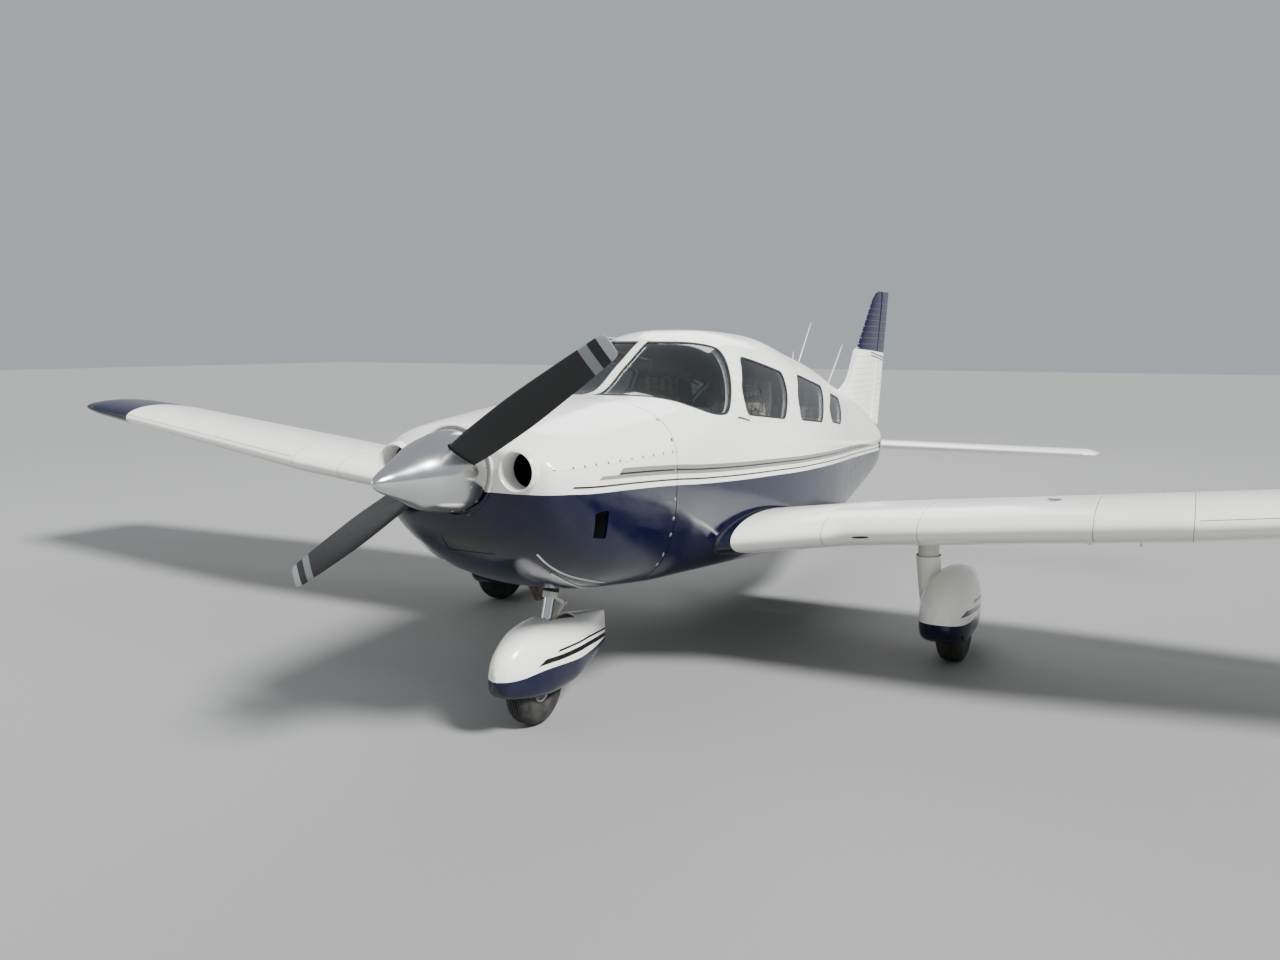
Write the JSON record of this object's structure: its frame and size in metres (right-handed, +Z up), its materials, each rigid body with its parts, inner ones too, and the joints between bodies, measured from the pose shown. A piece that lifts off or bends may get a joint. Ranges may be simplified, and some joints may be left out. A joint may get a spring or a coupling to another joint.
{
  "type": "light aircraft",
  "caption": "Low-wing light aircraft on fixed faired gear, with a turning propeller, steered nose wheel, moving control surfaces, and hinged cabin and baggage doors.",
  "frame": {"origin": "on the ground under the middle of the aircraft, midway between spinner tip and rudder", "axes": "+X towards the left wing tip, -Y towards the nose, +Z up"},
  "size_m": [10.82, 7.32, 2.259],
  "materials": {
    "white_skin": "gloss white enamel on aluminium",
    "navy_skin": "gloss navy enamel on aluminium",
    "tail_skin": "gloss enamel on aluminium",
    "fairing": "gloss enamel on moulded fairing",
    "polished": "polished",
    "blade": "satin dark grey paint",
    "engine_block": "cast, plain",
    "steel": "satin",
    "glazing": "tinted clear sheet",
    "tyre_rubber": "matt",
    "wheel_metal": "painted alloy",
    "seat_cover": "padded, grained",
    "cabin_trim": "matt, grained",
    "cabin_lining": "matt"
  },
  "bodies": {
    "airframe": {"cowl_upper": "white_skin", "cowl_lower": "navy_skin", "engine": "engine_block", "firewall": "steel", "cabin_lower": "navy_skin", "cabin_upper": "white_skin", "tail_cone": "tail_skin", "floor": "cabin_trim", "rear_bulkhead": "cabin_lining", "instrument_panel": "cabin_trim", "rear_seat": "seat_cover", "fin": "tail_skin", "nose_leg_frame": "steel", "exhaust_pipe": "steel", "aerial_blade": "fairing", "aerial_whip_left": "fairing", "aerial_whip_right": "fairing", "thermometer_probe": "cabin_trim", "pitot_mast": "white_skin", "boarding_step": "steel", "windscreen_left": "glazing", "window_front_left": "glazing", "window_middle_left": "glazing", "window_rear_left": "glazing", "yoke_left": "cabin_trim", "front_seat_left": "seat_cover", "wing_left": "white_skin", "wing_tip_left": "fairing", "main_leg_left": "steel", "main_fairing_left": "fairing", "windscreen_right": "glazing", "window_middle_right": "glazing", "window_rear_right": "glazing", "yoke_right": "cabin_trim", "front_seat_right": "seat_cover", "wing_right": "white_skin", "wing_tip_right": "fairing", "main_leg_right": "steel", "main_fairing_right": "fairing"},
    "propeller": {"propeller": "blade", "spinner": "polished"},
    "main_wheel_left": {"main_tyre_left": "tyre_rubber", "main_wheel_left": "wheel_metal"},
    "main_wheel_right": {"main_tyre_right": "tyre_rubber", "main_wheel_right": "wheel_metal"},
    "nose_gear": {"nose_fork": "steel", "nose_fairing": "fairing"},
    "nose_wheel": {"nose_tyre": "tyre_rubber", "nose_wheel": "wheel_metal"},
    "flap_left": {"flap_left": "white_skin"},
    "flap_right": {"flap_right": "white_skin"},
    "aileron_left": {"aileron_left": "white_skin"},
    "aileron_right": {"aileron_right": "white_skin"},
    "rudder": {"rudder": "tail_skin"},
    "stabilator": {"stabilator": "white_skin"},
    "stabilator_tab": {"stabilator_tab": "white_skin"},
    "cabin_door": {"cabin_door": "white_skin", "window_front_right": "glazing"},
    "baggage_door": {"baggage_door": "navy_skin"}
  },
  "joints": [
    {"name": "propeller_spin", "type": "hinge", "parent": "airframe", "child": "propeller", "pos_m": [0, -3.285, 1.265], "axis": [0, 1, 0], "continuous": true},
    {"name": "main_wheel_left_spin", "type": "hinge", "parent": "airframe", "child": "main_wheel_left", "pos_m": [1.555, -0.646, 0.2225], "axis": [1, 0, 0], "continuous": true},
    {"name": "main_wheel_right_spin", "type": "hinge", "parent": "airframe", "child": "main_wheel_right", "pos_m": [-1.555, -0.646, 0.2225], "axis": [1, 0, 0], "continuous": true},
    {"name": "rudder_swing", "type": "hinge", "parent": "airframe", "child": "rudder", "pos_m": [0, 3.075, 1.085], "axis": [0, 0.2599, 0.9656], "range_deg": [-27, 27]},
    {"name": "nose_steering", "type": "hinge", "parent": "airframe", "child": "nose_gear", "pos_m": [0, -2.4452, 0.6], "axis": [0, -0.3134, -0.9496], "range_deg": [-20, 20]},
    {"name": "nose_wheel_spin", "type": "hinge", "parent": "nose_gear", "child": "nose_wheel", "pos_m": [0, -2.595, 0.1805], "axis": [1, 0, 0], "continuous": true},
    {"name": "flap_left_lower", "type": "hinge", "parent": "airframe", "child": "flap_left", "pos_m": [0.64, -0.1, 0.63756], "axis": [-0.9938, 0, -0.111], "range_deg": [0, 40]},
    {"name": "flap_right_lower", "type": "hinge", "parent": "airframe", "child": "flap_right", "pos_m": [-0.64, -0.1, 0.63756], "axis": [-0.9938, 0, 0.111], "range_deg": [0, 40]},
    {"name": "aileron_left_swing", "type": "hinge", "parent": "airframe", "child": "aileron_left", "pos_m": [2.72, -0.1, 0.86975], "axis": [0.9915, -0.0446, 0.1225], "range_deg": [-12.5, 25]},
    {"name": "aileron_right_swing", "type": "hinge", "parent": "airframe", "child": "aileron_right", "pos_m": [-2.72, -0.1, 0.86975], "axis": [0.9915, 0.0446, -0.1225], "range_deg": [-12.5, 25]},
    {"name": "stabilator_pitch", "type": "hinge", "parent": "airframe", "child": "stabilator", "pos_m": [0, 3.096, 0.84], "axis": [1, 0, 0], "range_deg": [-2, 14]},
    {"name": "tab_pitch", "type": "hinge", "parent": "stabilator", "child": "stabilator_tab", "pos_m": [0, 3.54496, 0.80939], "axis": [1, 0, 0], "range_deg": [-2, 12]},
    {"name": "cabin_door_swing", "type": "hinge", "parent": "airframe", "child": "cabin_door", "pos_m": [-0.576, -1.5, 1], "axis": [0, 0, 1], "range_deg": [0, 75]},
    {"name": "baggage_door_swing", "type": "hinge", "parent": "airframe", "child": "baggage_door", "pos_m": [-0.497, 0.38, 1.156], "axis": [0.0995, 0.995, 0], "range_deg": [0, 80]}
  ],
  "couplings": [
    {"joint": "nose_steering", "follows": "rudder_swing", "ratio": 0.74},
    {"joint": "flap_right_lower", "follows": "flap_left_lower", "ratio": 1},
    {"joint": "tab_pitch", "follows": "stabilator_pitch", "ratio": 0.85}
  ]
}
